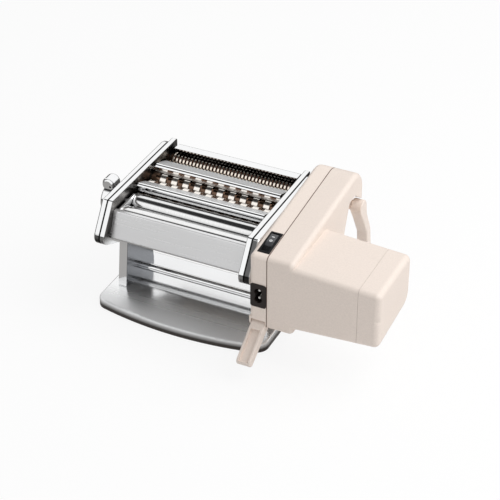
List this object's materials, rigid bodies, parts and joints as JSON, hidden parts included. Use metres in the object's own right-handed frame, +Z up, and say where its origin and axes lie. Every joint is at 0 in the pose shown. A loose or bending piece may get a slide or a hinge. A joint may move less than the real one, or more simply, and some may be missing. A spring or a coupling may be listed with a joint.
{
  "type": "electric pasta maker",
  "caption": "Electric pasta maker with smooth rollers, wide and fine cutting rollers, a thickness knob and a boxy geared motor unit on a chromed stand.",
  "frame": {"origin": "middle of the whole part's outline seen from above, on the table it stands on", "axes": "+X along the rollers towards the motor, +Y towards the back, +Z up"},
  "size_m": [0.3266, 0.2294, 0.1429],
  "materials": {
    "chromed_steel": "mirror-bright chrome plate over pressed sheet steel",
    "satin_steel": "satin-chromed sheet",
    "roller_steel": "ground and plated roller steel",
    "gear_steel": "plain machined steel",
    "screw_steel": "zinc-plated fasteners",
    "housing_plastic": "finely grained cream ABS",
    "knob_chrome": "bright chrome plate over moulded plastic",
    "nylon": "unpigmented nylon",
    "switch_plastic": "black switch plastic",
    "inlet_plastic": "brown-black moulded socket",
    "pin_brass": "nickel-bright contact pins",
    "foot_rubber": "moulded rubber feet",
    "motor_steel": "painted motor can"
  },
  "bodies": {
    "machine": {"base_plate": "chromed_steel", "base_feet": "foot_rubber", "left_leg": "chromed_steel", "right_leg": "chromed_steel", "leg_screws": "screw_steel", "leg_rod": "chromed_steel", "cheek_rods": "gear_steel", "rod_nuts": "screw_steel", "left_side_plate": "chromed_steel", "right_side_plate": "chromed_steel", "left_side_cover": "chromed_steel", "right_side_cover": "chromed_steel", "roller_bushes": "nylon", "front_panel": "satin_steel", "rear_panel": "chromed_steel", "front_guard": "chromed_steel", "middle_guard": "chromed_steel", "hopper_guides": "satin_steel", "front_scraper": "satin_steel", "regulator_bush": "nylon", "wide_combs": "nylon", "fine_combs": "nylon", "inner_housing": "housing_plastic", "outer_housing": "housing_plastic", "motor_end_cap": "housing_plastic", "housing_screws": "screw_steel", "gear_axles": "gear_steel", "motor_can": "motor_steel", "switch_bezel": "switch_plastic", "inlet_socket": "inlet_plastic", "inlet_pins": "pin_brass", "latch_pins": "gear_steel"},
    "drive_roller": {"drive_roller": "roller_steel", "drive_roller_gear": "gear_steel", "drive_output_gear": "gear_steel"},
    "roller_carriage": {"roller_carriage": "satin_steel", "rear_scraper": "satin_steel"},
    "adjustable_roller": {"adjustable_roller": "roller_steel", "adjustable_roller_gear": "gear_steel"},
    "regulator": {"regulator_shaft": "gear_steel", "regulator_knob": "knob_chrome", "regulator_grip": "knob_chrome"},
    "wide_front": {"wide_cutter_front": "roller_steel", "wide_gear_front": "gear_steel", "wide_output_gear": "nylon"},
    "wide_rear": {"wide_cutter_rear": "roller_steel", "wide_gear_rear": "gear_steel"},
    "fine_front": {"fine_cutter_front": "roller_steel", "fine_gear_front": "gear_steel", "fine_output_gear": "nylon"},
    "fine_rear": {"fine_cutter_rear": "roller_steel", "fine_gear_rear": "gear_steel"},
    "front_idler": {"front_idler_gear": "nylon"},
    "rear_idler": {"rear_idler_gear": "nylon"},
    "reduction": {"reduction_gear": "nylon"},
    "motor_rotor": {"motor_shaft": "gear_steel", "motor_pinion": "gear_steel"},
    "rocker": {"switch_rocker": "switch_plastic"},
    "front_lever": {"front_latch": "housing_plastic"},
    "rear_lever": {"rear_latch": "housing_plastic"}
  },
  "joints": [
    {"name": "drive_spin", "type": "hinge", "parent": "machine", "child": "drive_roller", "pos_m": [-0.0567, -0.0442, 0.105], "axis": [1, 0, 0], "continuous": true},
    {"name": "knob_turn", "type": "hinge", "parent": "machine", "child": "regulator", "pos_m": [-0.1429, -0.018, 0.105], "axis": [1, 0, 0], "range_deg": [-60, 60]},
    {"name": "carriage_slide", "type": "slide", "parent": "machine", "child": "roller_carriage", "axis": [0, 1, 0], "range_m": [-0.0013, 0.0013]},
    {"name": "adjustable_spin", "type": "hinge", "parent": "roller_carriage", "child": "adjustable_roller", "pos_m": [-0.0567, -0.018, 0.105], "axis": [1, 0, 0], "continuous": true},
    {"name": "wide_front_spin", "type": "hinge", "parent": "machine", "child": "wide_front", "pos_m": [-0.0567, 0.0059, 0.1105], "axis": [1, 0, 0], "continuous": true},
    {"name": "wide_rear_spin", "type": "hinge", "parent": "machine", "child": "wide_rear", "pos_m": [-0.0567, 0.0247, 0.1105], "axis": [1, 0, 0], "continuous": true},
    {"name": "fine_front_spin", "type": "hinge", "parent": "machine", "child": "fine_front", "pos_m": [-0.0567, 0.0474, 0.1105], "axis": [1, 0, 0], "continuous": true},
    {"name": "fine_rear_spin", "type": "hinge", "parent": "machine", "child": "fine_rear", "pos_m": [-0.0567, 0.0662, 0.1105], "axis": [1, 0, 0], "continuous": true},
    {"name": "front_idler_spin", "type": "hinge", "parent": "machine", "child": "front_idler", "pos_m": [0.0378, -0.01776, 0.11256], "axis": [1, 0, 0], "continuous": true},
    {"name": "rear_idler_spin", "type": "hinge", "parent": "machine", "child": "rear_idler", "pos_m": [0.0378, 0.02665, 0.09442], "axis": [1, 0, 0], "continuous": true},
    {"name": "reduction_spin", "type": "hinge", "parent": "machine", "child": "reduction", "pos_m": [0.0378, -0.02354, 0.09093], "axis": [1, 0, 0], "continuous": true},
    {"name": "motor_spin", "type": "hinge", "parent": "machine", "child": "motor_rotor", "pos_m": [0.0533, -0.0511, 0.086], "axis": [1, 0, 0], "continuous": true},
    {"name": "rocker_tip", "type": "hinge", "parent": "machine", "child": "rocker", "pos_m": [0.0413, -0.05796, 0.12956], "axis": [1, 0, 0], "range_deg": [-16, 0]},
    {"name": "front_latch_swing", "type": "hinge", "parent": "machine", "child": "front_lever", "pos_m": [0.0393, -0.0751, 0.0475], "axis": [1, 0, 0], "range_deg": [-25, 30]},
    {"name": "rear_latch_swing", "type": "hinge", "parent": "machine", "child": "rear_lever", "pos_m": [0.0733, 0.0875, 0.0966], "axis": [1, 0, 0], "range_deg": [-35, 40]}
  ],
  "couplings": [
    {"joint": "adjustable_spin", "follows": "drive_spin", "ratio": -1},
    {"joint": "wide_front_spin", "follows": "drive_spin", "ratio": 1.2727},
    {"joint": "wide_rear_spin", "follows": "drive_spin", "ratio": -1.2727},
    {"joint": "fine_front_spin", "follows": "drive_spin", "ratio": 1.2727},
    {"joint": "fine_rear_spin", "follows": "drive_spin", "ratio": -1.2727},
    {"joint": "front_idler_spin", "follows": "drive_spin", "ratio": -1.75},
    {"joint": "rear_idler_spin", "follows": "drive_spin", "ratio": -1.4},
    {"joint": "reduction_spin", "follows": "drive_spin", "ratio": -2.3333},
    {"joint": "motor_spin", "follows": "drive_spin", "ratio": 8.5556},
    {"joint": "knob_turn", "follows": "carriage_slide", "rad_per_m": 806.13}
  ]
}
